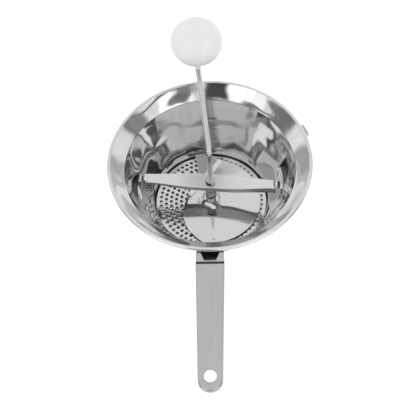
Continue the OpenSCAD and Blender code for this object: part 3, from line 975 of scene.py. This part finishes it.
def build_hook(node, yaw):
    """A strip up the cone's outside, out past the rim as a shelf, and down at its end."""
    shelf, t = RIM_Z - 11 * MM, 1.5 * MM
    reach = 107.6 * MM
    line = rounded([(wall_in(46 * MM) + SKIN + t, 46 * MM, 0),
                    (wall_in(60 * MM) + SKIN + t, 60 * MM, 3 * MM), (91.5 * MM, shelf, 2 * MM),
                    (reach, shelf, 1.8 * MM), (reach, shelf - 6 * MM, 0)], closed=False)
    path = [polar(p.x, yaw, p.y) for p in line]
    across = polar(1, yaw - math.pi / 2)
    sections = strip(path, lambda i: (12.6 - 1.6 * i / len(path)) * MM, t, -across)
    hook = make_object(node + "_lug", *loft(sections), SATIN_STEEL)
    dress(hook, "satin_steel", node)


# ---------------------------------------------------------------- kept frame nodes

def paint_kept_nodes():
    """The small turned parts keep their shape from the frame and get a finish."""
    for node in ("upper_washer", "lower_washer", "stop_clip", "blade_hub", "hub_pin",
                 "knob_washer", "knob_retainer", "knob_bush"):
        obj = frame["nodes"][node]
        obj.data.materials.clear()
        obj.data.materials.append(SMALL_STEEL)


# ---------------------------------------------------------------- stage

def direction(azimuth, elevation):
    """A unit vector from angles in degrees."""
    a, e = math.radians(azimuth), math.radians(elevation)
    return (math.cos(a) * math.cos(e), math.sin(a) * math.cos(e), math.sin(e))


def tent_patch(n, ray, value, patch):
    """value, changed to the patch's brightness inside its soft-edged circle."""
    azimuth, elevation, radius, softness, brightness = patch
    facing = n.add("ShaderNodeVectorMath", {0: ray, 1: direction(azimuth, elevation)},
                   operation="DOT_PRODUCT").outputs["Value"]
    limits = {
        "Value": facing,
        "From Min": math.cos(math.radians(radius + softness)),
        "From Max": math.cos(math.radians(radius - softness)),
    }
    inside = n.add("ShaderNodeMapRange", limits, interpolation_type="SMOOTHSTEP").outputs[0]
    return n.add("ShaderNodeMix", {0: inside, 2: value, 3: brightness}).outputs[0]


def tent_folds(n, ray):
    """Uneven light from the tent's folds, which fade out overhead."""
    stretched = n.scaled(ray, (4.0, 4.0, 1.5))
    folds = n.add("ShaderNodeTexNoise", {"Vector": stretched, "Scale": 1.0, "Distortion": 1.0})
    uneven = n.ranged(folds.outputs["Fac"], 0.80, 1.12, 0.35, 0.65)
    height = n.add("ShaderNodeSeparateXYZ", {0: ray}).outputs[2]
    overhead = n.ranged(height, 0.0, 1.0, 0.68, 0.80)
    return n.add("ShaderNodeMix", {0: overhead, 2: uneven, 3: 1.0}).outputs[0]


def build_world():
    """A white tent of soft light, with a dark opening at the front and dimmer low sides."""
    world = bpy.data.worlds.new("studio")
    bpy.context.scene.world = world
    world.use_nodes = True
    world.node_tree.nodes.clear()
    n = Nodes(world.node_tree)
    ray = n.add("ShaderNodeTexCoord").outputs["Generated"]
    value = TENT_BRIGHTNESS
    for patch in TENT_PATCHES:
        value = tent_patch(n, ray, value, patch)
    value = n.math("MULTIPLY", value, tent_folds(n, ray))
    background = n.add("ShaderNodeBackground", {"Color": value})
    n.add("ShaderNodeOutputWorld", {0: background.outputs[0]})


def build_floor():
    """A pale floor with painted light: it glows round the bowl's foot, where the bowl shades it most.
    """
    n = MaterialNodes("pale_floor")
    where = n.position()
    grain = n.noise(where, 30.0, 3.0)
    n.put(n.colours(grain, (0.92, 0.92, 0.92), (0.95, 0.95, 0.95)), n.shader.inputs["Base Color"])
    n.shader.inputs["Roughness"].default_value = 0.9
    n.shader.inputs["Specular IOR Level"].default_value = 0.1
    n.shader.inputs["Emission Color"].default_value = (1, 1, 1, 1)
    # Painted light: the floor glows in a ring round the bowl's foot, strongest next to it and fading
    # outward, to lift the bowl's shadow.
    away = n.add("ShaderNodeVectorMath", {0: where}, operation="LENGTH").outputs["Value"]
    outside = n.ranged(away, 0.0, 1.0, 0.050, 0.056)
    n.put(n.math("MULTIPLY", outside, n.ranged(away, 0.62, 0.12, 0.056, 0.22)),
          n.shader.inputs["Emission Strength"])
    level = LIP.z - 0.3 * MM
    corners = [polar(12.0, 2 * math.pi * k / 64, level) for k in range(64)]
    floor = make_object("floor", corners, [tuple(range(64))], n.material)


def build_camera():
    """The mill seen from above its handle, 58 degrees up, from about a metre away."""
    data = bpy.data.cameras.new("camera")
    data.lens = 82.2
    camera = bpy.data.objects.new("camera", data)
    bpy.context.scene.collection.objects.link(camera)
    place = Vector((0.01725, -0.53687, 0.85815))
    target = Vector((-0.00366, -0.00567, 0.0))
    look = (target - place).to_track_quat("-Z", "Y").to_matrix().to_4x4()
    roll = Matrix.Rotation(math.radians(-2.75), 4, "Z")
    camera.matrix_world = Matrix.Translation(place) @ look @ roll
    bpy.context.scene.camera = camera
    bpy.context.scene.view_settings.view_transform = "Standard"


build_camera()
build_world()
build_floor()
build_bowl()
build_disc()
build_crossbar()
build_eyelet()
build_rod()
build_blade()
build_spring()
build_knob()
build_handle()
build_hook("hook_right", math.radians(24.3))
build_hook("hook_rear", math.radians(102))
paint_kept_nodes()
